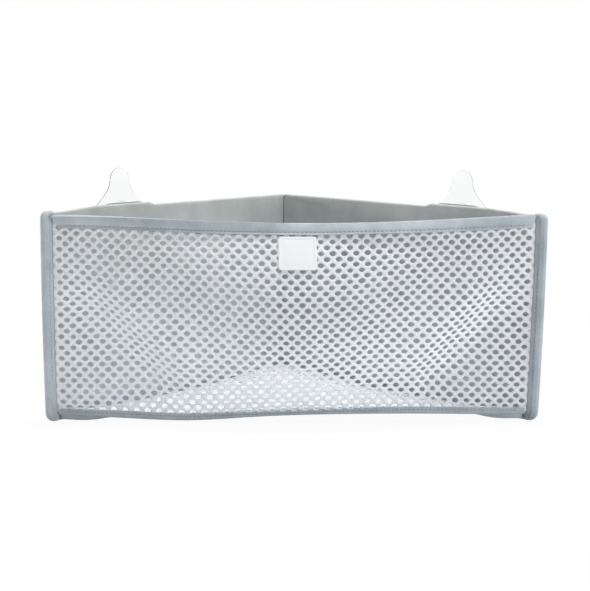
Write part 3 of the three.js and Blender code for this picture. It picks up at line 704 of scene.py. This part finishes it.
def foot_height(u):
    """Height of the net's lower edge: one sine wave across it, less a bell-shaped dip."""
    dip = FOOT_DIP * np.exp(-(((u - DIP_AT) / DIP_WIDTH) ** 2))
    return FRONT_FOOT + FOOT_RISE + FOOT_TILT * np.sin(math.pi * u) - dip


def rim_height(u):
    """Height of the net's upper edge: raised, tilted up at its right end and down at its left one by an odd
    power of u, and hanging down between them by a power of a parabola."""
    sag = RIM_SAG * np.maximum(1 - u**2, 0) ** SAG_POWER
    return FRONT_RIM + RIM_RAISE + RIM_TILT * u**TILT_POWER - sag


def front_middle(u, v):
    """A point of the middle layer of the net front: u across, v up from its lower to its upper edge, and
    the bulge as depth. Its ends turn back with a high power of u."""
    u, v = np.broadcast_arrays(u, v)
    height = foot_height(u) + v * (rim_height(u) - foot_height(u))
    drawn = drawn_in(height)
    depth = (FRONT_DEPTH - END_TURN * np.abs(u) ** TURN_POWER) * drawn + bulge(u, v)
    return np.stack([u * (FRONT_HALF - END_GAP - END_TURN) * drawn, FOLD_Y - depth, height], -1)


def front_point(u, v, depth):
    """A point set back by depth from the middle layer of the front. Towards the two ends the way back
    turns parallel to the tape on the walls."""
    u, v, depth = np.broadcast_arrays(u, v, depth)
    step = 1e-4
    across = front_middle(u + step, v) - front_middle(u - step, v)
    up = front_middle(u, v + step) - front_middle(u, v - step)
    out = np.cross(across, up)
    out /= np.linalg.norm(out, axis=-1, keepdims=True)
    out[..., 0] += u * np.abs(u) ** SLEW_POWER
    return front_middle(u, v) - depth[..., None] * out


def tape_ends(u, into):
    """Stations of a tape on the front, which ends short of the net and on a slant."""
    return u[:, None] * (1 - END_SHORT - END_SLANT * np.clip(into / TAPE_WIDTH, 0, 1))


def share_up(u, into, at_rim):
    """The share of the front's height at which the net is some way in from its rim or its foot, read off the
    running length of its middle layer, and carried on evenly past its edge."""
    share = np.linspace(0, TAPE_REACH, 57)
    run = lengths(front_middle(u[:, :1], 1 - share if at_rim else share), 1)
    inside = np.stack([np.interp(into, row, share) for row in run])
    share_in = np.where(into < 0, into * share[1] / run[:, 1:2], inside)
    return 1 - share_in if at_rim else share_in


def rim_tape_grid(u, section):
    """One face of the tape folded over the front's rim. A section point's rise becomes a length along the
    net from its edge, and its place across becomes depth. Along the left half the front leaf leans
    forward from the stitches up, along the right half from the fold down."""
    depth, rise = section.T
    into = -rise - WRAP
    u = tape_ends(u, into)
    below = -rise / TAPE_WIDTH
    to_stitches = np.clip(below / RIM_STITCH, 0, 1)
    lean = RIM_LEAN * smooth(below / LEAN_FOLD) * (1 - to_stitches) * smooth((LEAN_AT - u) / LEAN_FADE)
    flare = RIM_FLARE * to_stitches * smooth((u - LEAN_AT) / LEAN_FADE)
    return front_point(u, share_up(u, into, True), depth - (depth < 0) * (lean + flare))


def foot_lean(u, level, drop):
    """How far the foot's tape is turned back from the way the net runs, at some length below the net's edge.
    level is the turn that makes it level: along the middle the turn grows evenly to it, and towards the
    ends it gives way to a bell-shaped step."""
    bent = smooth((BEND_END - np.abs(u)) / BEND_FADE)
    step = CREASE_TURN * np.exp(-(((drop - CREASE_AT) / CREASE_WIDTH) ** 2))
    return bent * level * np.clip(drop / BEND_LENGTH, 0, 1) + (1 - bent) * step


def foot_tape_grid(u, section):
    """One face of the tape folded over the front's foot. Its upper part lies on the net. The rest hangs
    down behind a crease at the front's two ends, and along the middle it is bent back level under the
    floor. Its place is the mean of the sine and cosine of its lean, in small steps down the tape."""
    depth, rise = section.T
    into = -rise - FOOT_HANG
    u = tape_ends(u, into)
    edge = front_middle(u, 0)
    back = (front_point(u, 0, MM) - edge) / MM
    near = 0.01
    up = outward_from(front_middle(u, near), edge)
    level = np.arctan2(up[..., 2], -up[..., 1])
    drop = np.maximum(-into, 0)
    steps = 24
    on_the_way = foot_lean(u[..., None], level[..., None], drop[:, None] * (np.arange(steps) + 0.5) / steps)
    lean = foot_lean(u, level, drop)
    behind = drop * np.sin(on_the_way).mean(-1) + depth * np.cos(lean)
    below = drop * np.cos(on_the_way).mean(-1) - depth * np.sin(lean)
    hanging = edge + back * behind[..., None] - up * below[..., None]
    on_net = front_point(u, share_up(u, np.maximum(into, 0), False), depth)
    return np.where((into < 0)[:, None], hanging, on_net)


def front_binding(name, tape_grid, half, crown, seam):
    """A tape folded over the front's rim or foot, with half of its thickness on each side of the net, and
    its stitches on both leaves, which end two stations before it does."""
    u = np.linspace(-1, 1, 127)
    sections = fold_section(half, RIM_STITCH, crown, seam)
    outer, inner = (tape_grid(u, section) for section in sections)
    piece = channel(f"front_{name}_tape", outer, inner, BINDING)
    rows = facing_rows(outer[2:-2], stitch_column(RIM_STITCH))
    return piece, sew(f"front_{name}_stitches", rows, THREAD)


def net_sheet(name, cells, opening, inside, place, seed):
    """A net of lozenge cells with an oval hole in each. A cell is a ring of faces from its lozenge edge to
    its oval, full at the edge and thin at the hole, on the face and on the back, joined through the hole.
    cells are lozenge middles counted in half cells, opening is the size of their holes as a share of the
    plain one, inside says whether a place is on the sheet, and place puts (i, j, depth) in the frame. Cells
    that reach over the border are cut there."""
    turn = np.arange(HOLE_SIDES) * math.tau / HOLE_SIDES
    quarter = HOLE_SIDES // 4
    along_edge = np.abs(np.arange(HOLE_SIDES) - 2 * quarter) - quarter
    rng = np.random.default_rng(seed)
    size = opening[:, None] * (1 + HOLE_SPREAD * rng.standard_normal((len(cells), 1)))
    shift = HOLE_SHIFT * rng.standard_normal((2, len(cells), 1))
    ci, cj = cells[:, :1], cells[:, 1:]
    edge_i, edge_j = quarter * ci + along_edge, quarter * cj + np.roll(along_edge, quarter)
    rim_i = ci + shift[0] + HOLE_ACROSS * size * np.cos(turn)
    rim_j = cj + shift[1] + HOLE_UP * size * np.sin(turn)
    middle_i, middle_j = (edge_i / quarter + rim_i) / 2, (edge_j / quarter + rim_j) / 2
    shared, edge_at = np.unique(np.stack([edge_i, edge_j], -1).reshape(-1, 2), axis=0, return_inverse=True)
    edge_at = edge_at.reshape(edge_i.shape)
    ring_at = np.arange(edge_i.size).reshape(edge_i.shape)
    layers = (
        (edge_at, *(shared.T / quarter), -STRAND),
        (ring_at, middle_i, middle_j, -SHOULDER),
        (ring_at, rim_i, rim_j, -HOLE_RIM),
        (ring_at, rim_i, rim_j, HOLE_RIM),
        (edge_at, *(shared.T / quarter), STRAND),
    )
    rings, parts, start = [], [], 0
    for at, i, j, share in layers:
        rings.append(at + start)
        parts.append(np.stack([i.ravel(), j.ravel(), np.full(i.size, share * NET)]))
        start += i.size
    i, j, depth = np.concatenate(parts, 1)
    halfway = turn + math.pi / HOLE_SIDES
    keep = inside(ci + 0.5 * np.cos(halfway), cj + 0.5 * np.sin(halfway))
    after = np.roll(np.arange(HOLE_SIDES), -1)
    faces = [
        np.stack([near, near[:, after], far[:, after], far], -1)[keep] for near, far in zip(rings, rings[1:])
    ]
    cut = keep != np.roll(keep, 1, axis=1)
    faces.append(np.stack([ring[cut] for ring in rings], -1))
    edges = np.stack([rings[0], rings[0][:, after], rings[-1][:, after], rings[-1]], -1)[keep]
    _, first, uses = np.unique(np.sort(edges[:, :2], 1), axis=0, return_index=True, return_counts=True)
    faces.append(edges[first[uses == 1]])
    used = np.unique(np.concatenate([group.ravel() for group in faces]))
    faces = [np.searchsorted(used, group) for group in faces]
    return build(name, place(i, j, depth)[used], faces, np.stack([i, j], -1)[used] / 2, NET_YARN, sharp=75)


def lozenges(across, up):
    """Middles of the lozenge cells on a lattice of half cells: those where across plus up is odd."""
    i, j = np.meshgrid(across, up, indexing="ij")
    odd = (i + j) % 2 == 1
    return np.stack([i[odd], j[odd]], -1)


def front_net():
    """The bulging net front. Its rows of holes wander a little along two slanting sine waves, draw together
    across the flanks' folds, and close up along its two ends."""

    def inside(i, j):
        """Whether a place lies between the front's four edges."""
        return (i >= 0) & (i <= NET_ACROSS) & (j >= 0) & (j <= NET_UP)

    def place(i, j, depth):
        """Half cells to a point of the front: u and v, with the wander and the draw of the folds added."""
        u, v = 2 * i / NET_ACROSS - 1, j / NET_UP
        slack = NET_DRIFT * (1 - u**2) * 4 * v * (1 - v)
        away, fold = flank_fold(u, v)
        drawn = FLANK_DRAW * FLANK_WIDTH * away * fold
        u = u + slack * np.sin(7 * v + 5 * u) + np.sign(u) * drawn * DIAGONAL / FRONT_HALF
        v = v + 2 * slack * np.sin(6 * u - 3 * v) - drawn * DIAGONAL / (FRONT_RIM - FRONT_FOOT)
        return front_point(u, v, depth)

    cells = lozenges(np.arange(NET_ACROSS + 1), np.arange(NET_UP + 1))
    opening = np.where(cells[:, 0] % NET_ACROSS == 0, END_OPENING, 1.0)
    return net_sheet("front_mesh", cells, opening, inside, place, seed=3)


def floor_net():
    """The triangular net floor. Its lozenges stand with their edges along the walls. It is drawn up a little
    in the corner, and its front edge follows the foot's tape."""
    margin = WRAP + 2 * SEAT_GAP
    apex = FOLD_Y - margin / DIAGONAL
    front = FOLD_Y - FRONT_DEPTH * (1 - FOOT_DRAW) + FOOT_TAPE_HALF + SEAT_GAP
    half_cell = (apex - front) / FLOOR_CELLS

    def inside(i, j):
        """Whether a place lies in the triangle."""
        return (j >= 0) & (np.abs(i) + j <= FLOOR_CELLS)

    def place(i, j, depth):
        """Half cells to a point of the floor: flat, with a bell-shaped rise in the corner, and shifted to
        its seam along the front."""
        x, y = i * half_cell, front + j * half_cell
        away = np.hypot(x, apex - y)
        u = x / (FRONT_HALF * (1 - FOOT_DRAW))
        seam = front_point(u, FLOOR_SEAM_AT, FOOT_TAPE_HALF + 2 * SEAT_GAP + NET / 2)
        near = np.exp(-((j * half_cell / FLOOR_SEAM_REACH) ** 2))
        shift = near * (seam[..., 1] - front)
        inwards = np.sign(x) * np.abs(u) ** SLEW_POWER * np.maximum(shift, 0)
        height = FLOOR_TOP - NET / 2 + CORNER_RISE * np.exp(-((away / CORNER_RISE_REACH) ** 2))
        return np.stack([x - inwards, y + shift, height + near * (seam[..., 2] - height) - depth], -1)

    cells = lozenges(np.arange(-FLOOR_CELLS, FLOOR_CELLS + 1), np.arange(FLOOR_CELLS))
    whole = np.abs(cells[:, 0]) + cells[:, 1] < FLOOR_CELLS
    opening = np.full(whole.sum(), FLOOR_OPENING)
    return net_sheet("floor_mesh", cells[whole], opening, inside, place, seed=5)


def rounded_rectangle(width, height, corner, steps=6):
    """Outline of a rectangle about the origin, with a quarter circle at each corner."""
    turn = np.linspace(0, math.pi / 2, steps)
    points = []
    for k, (sx, sy) in enumerate(((1, 1), (-1, 1), (-1, -1), (1, -1))):
        middle = np.array([sx * (width / 2 - corner), sy * (height / 2 - corner)])
        angle = turn + k * math.pi / 2
        points.append(middle + corner * np.stack([np.cos(angle), np.sin(angle)], -1))
    return np.concatenate(points)


def sewn_label():
    """A blank label on the net under the middle of the rim, with a rolled edge and a fine seam. Its section
    is in shares of its outline and rises off the net in millimetres, from the back to the face."""
    lowest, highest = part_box("label")
    width, tall = highest.x - lowest.x, highest.z - lowest.z
    height = rim_height(0) - foot_height(0)
    middle_v = 1 - (TAPE_WIDTH - WRAP + SEAT_GAP + tall / 2) / height

    def place(x, y, depth):
        """Lengths from the label's middle to a point on the front."""
        return front_point(x / FRONT_HALF, middle_v + y / height, depth)

    outline = rounded_rectangle(width, tall, corner=2.2 * MM)
    on_net = -NET / 2 - SEAT_GAP
    face_rise, seam_share = 0.6, 0.885
    section = [(0.2, 0), (0.5, 0), (0.8, 0), (0.95, 0)]
    section += [(0.99, 0.1), (1.0, 0.4), (0.985, 0.75), (0.96, 0.85), (0.92, 0.8), (0.87, 0.55)]
    section += [(share, face_rise) for share in (0.8, 0.5, 0.2)]
    profile = [(share, on_net - rise * MM) for share, rise in section]
    piece = plate("label_tag", outline, profile, place, TAG)
    seam = seam_share * np.concatenate([outline, outline[:1]])
    line = place(*seam.T, on_net - face_rise * MM)
    rows = [(line, outward_from(place(*seam.T, on_net - 2 * MM), line))]
    return piece, sew("label_stitches", rows, TAG, pitch=2.2 * MM, radius=0.22 * MM)


def bell_outline():
    """The pad's outline about the middle of its disc: half a circle at the tip of the peel tab, a curved
    flank down to the disc on each side, which is a cubic curve with two handles, and the rest of the disc."""
    radius, tab = PAD_DIAMETER / 2, TAB_WIDTH / 2
    tab_middle = TAB_TIP - PAD_MIDDLE - tab
    shoulder = math.radians(PAD_SHOULDER)
    joint = radius * np.array([math.sin(shoulder), math.cos(shoulder)])
    handles = np.array(
        [
            [tab, tab_middle],
            [tab, tab_middle - NECK_HANDLE],
            joint + SHOULDER_HANDLE * np.array([-math.cos(shoulder), math.sin(shoulder)]),
            joint,
        ]
    )
    t = np.linspace(1, 0, 24)[:, None]
    weights = np.concatenate([(1 - t) ** 3, 3 * t * (1 - t) ** 2, 3 * t**2 * (1 - t), t**3], 1)
    flank = weights @ handles
    tip_turn = np.linspace(0, math.pi, 32)[1:-1]
    tip = np.stack([tab * np.cos(tip_turn), tab_middle + tab * np.sin(tip_turn)], -1)
    disc_turn = np.linspace(math.pi / 2 + shoulder, 2.5 * math.pi - shoulder, 80)[1:-1]
    disc = radius * np.stack([np.cos(disc_turn), np.sin(disc_turn)], -1)
    return np.concatenate([flank, tip, flank[::-1] * (-1, 1), disc])


def wall_pad(side):
    """A clear pad: its bell outline, with its rim rounded off on both faces."""

    def place(x, y, out):
        """Lengths from the disc's middle to a point on the wall."""
        return on_wall(side, PAD_ALONG + x, out, PAD_MIDDLE + y)

    round_off = PAD_ROUND * PAD
    inner, outer = PAD_INNER, PAD_INNER + PAD
    angle = np.linspace(0, math.pi / 2, 5)
    inset = round_off * (1 - np.sin(angle)) / (PAD_DIAMETER / 2)
    layer = round_off * (1 - np.cos(angle))
    back = [(share, outer) for share in (0.3, 0.7, 0.95)]
    face = [(share, inner) for share in (0.95, 0.7, 0.3)]
    rim = [(1 - a, outer - b) for a, b in zip(inset, layer)]
    rim += [(1 - a, inner + b) for a, b in zip(inset[::-1], layer[::-1])]
    name = f"{SIDE_NAMES[side]}_pad_sheet"
    return plate(name, bell_outline(), back + rim + face, place, VINYL)


def dress(pieces, slot, body, *nodes):
    """Pieces that move with one body: each is parented to the body's empty, and the given nodes are hidden.
    """
    for piece in pieces:
        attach(piece, body)
    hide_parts(*nodes)


def span(pieces, slot, reach, *nodes):
    """Pieces that cross the fold: their transforms are baked into their meshes, and the given nodes are
    hidden. reach is not used.
    """
    for piece in pieces:
        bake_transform(piece)
    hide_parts(*nodes)


def seen_rays(tree):
    """1 for rays that show a surface to the camera, straight, mirrored or through a clear piece: the
    greatest of three flags."""
    rays = add(tree, "ShaderNodeLightPath").outputs
    seen = rays["Is Camera Ray"]
    for flag in ("Is Glossy Ray", "Is Transmission Ray"):
        seen = add(tree, "ShaderNodeMath", {0: seen, 1: rays[flag]}, operation="MAXIMUM").outputs[0]
    return seen


def studio_floor():
    """A pale paper floor just below the basket. Where it is seen, it is white further away, and near the
    basket a small share of it stays matt paper, which keeps the shadow."""
    mesh = bpy.data.meshes.new("studio_floor")
    corners = ((-1, -1), (1, -1), (1, 1), (-1, 1))
    mesh.from_pydata([(GROUND_REACH * x, GROUND_REACH * y, 0) for x, y in corners], [], [(0, 1, 2, 3)])
    ground = bpy.data.objects.new("studio_floor", mesh)
    ground.location.z = -GROUND_DROP
    bpy.context.scene.collection.objects.link(ground)
    paper = bpy.data.materials.new("white_paper")
    paper.use_nodes = True
    tree = paper.node_tree
    tree.nodes.clear()
    place = add(tree, "ShaderNodeTexCoord").outputs["Object"]
    away = add(tree, "ShaderNodeVectorMath", {0: place}, operation="LENGTH").outputs["Value"]
    fade = {"Value": away, "From Min": SHADE_NEAR, "From Max": SHADE_FAR, "To Min": SHADE_WHITE}
    plain = add(tree, "ShaderNodeMapRange", fade).outputs["Result"]
    share = add(tree, "ShaderNodeMath", {0: seen_rays(tree), 1: plain}, operation="MULTIPLY").outputs[0]
    matt = add(tree, "ShaderNodeBsdfDiffuse", {"Color": linear("#f4f4f4")})
    white = add(tree, "ShaderNodeEmission", {"Color": (1, 1, 1, 1), "Strength": 1.0})
    mixed = add(tree, "ShaderNodeMixShader", {0: share, 1: matt.outputs[0], 2: white.outputs[0]})
    add(tree, "ShaderNodeOutputMaterial", {"Surface": mixed.outputs[0]})
    mesh.materials.append(paper)


def surround():
    """An even surround: white where it is seen, and a weaker light on the basket."""
    world = bpy.data.worlds.new("white_surround")
    bpy.context.scene.world = world
    world.use_nodes = True
    tree = world.node_tree
    tree.nodes.clear()
    strength = add(tree, "ShaderNodeMapRange", {"Value": seen_rays(tree), "To Min": AMBIENT, "To Max": 1.0})
    sky = add(tree, "ShaderNodeBackground", {"Color": (1, 1, 1, 1), "Strength": strength.outputs["Result"]})
    add(tree, "ShaderNodeOutputWorld", {"Surface": sky.outputs[0]})


def lamps():
    """A soft key from the right of the front, a low fill at the left side and a lamp above, all discs."""
    for name, place, aim, width, power in LAMPS:
        lamp = bpy.data.lights.new(name, "AREA")
        lamp.shape = "DISK"
        lamp.size = width
        lamp.energy = power
        holder = bpy.data.objects.new(name, lamp)
        holder.location = place
        holder.rotation_euler = (Vector(aim) - Vector(place)).to_track_quat("-Z", "Y").to_euler()
        bpy.context.scene.collection.objects.link(holder)


def camera():
    """The camera of the photograph's view."""
    view = bpy.data.cameras.new("photo_view")
    view.lens = CAMERA_LENS
    holder = bpy.data.objects.new("photo_view", view)
    holder.location = CAMERA_PLACE
    holder.rotation_euler = CAMERA_TURN
    bpy.context.scene.collection.objects.link(holder)
    bpy.context.scene.camera = holder


for side, name in SIDE_NAMES.items():
    sleeve = wall_sleeve(side)
    dress([sleeve], "wall_cloth", f"{name}_wall", f"{name}_wall_sleeve")
    dress(edge_binding(side), "binding_tape", f"{name}_wall", f"{name}_edge_binding")
    dress(foot_binding(side), "binding_tape", f"{name}_wall", f"{name}_foot_binding")
    dress(hanging_strap(side), "wall_cloth", f"{name}_wall", f"{name}_hanging_strap")
    dress([wall_pad(side)], "clear_pad", f"{name}_pad", f"{name}_wall_pad")
    for node, material in (("wall_board", BOARD), ("hook", HOOK_PLASTIC), ("adhesive_film", ADHESIVE)):
        for slot in frame["nodes"][f"{name}_{node}"].material_slots:
            slot.material = material

front = front_net()
span([front], "net", FRONT_HALF, "front_net")
rim_tape = front_binding("rim", rim_tape_grid, RIM_TAPE_HALF, crown=0.25 * MM, seam=0.2 * MM)
span(rim_tape, "binding_tape", FRONT_HALF, "front_rim_binding")
foot_tape = front_binding("foot", foot_tape_grid, FOOT_TAPE_HALF, crown=0.3 * MM, seam=0.1 * MM)
span(foot_tape, "binding_tape", FRONT_HALF, "front_foot_binding")
span(sewn_label(), "label_cloth", FRONT_HALF, "label")
span(corner_tape(), "binding_tape", WALL, "corner_tape")

# The floor folds up between the walls. Here it moves with the left wall, with its own copy of its mesh.
floor = floor_net()
dress([floor], "net", "left_wall", "floor_net")
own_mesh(floor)

bpy.context.scene.view_settings.view_transform = "Standard"
studio_floor()
surround()
lamps()
camera()
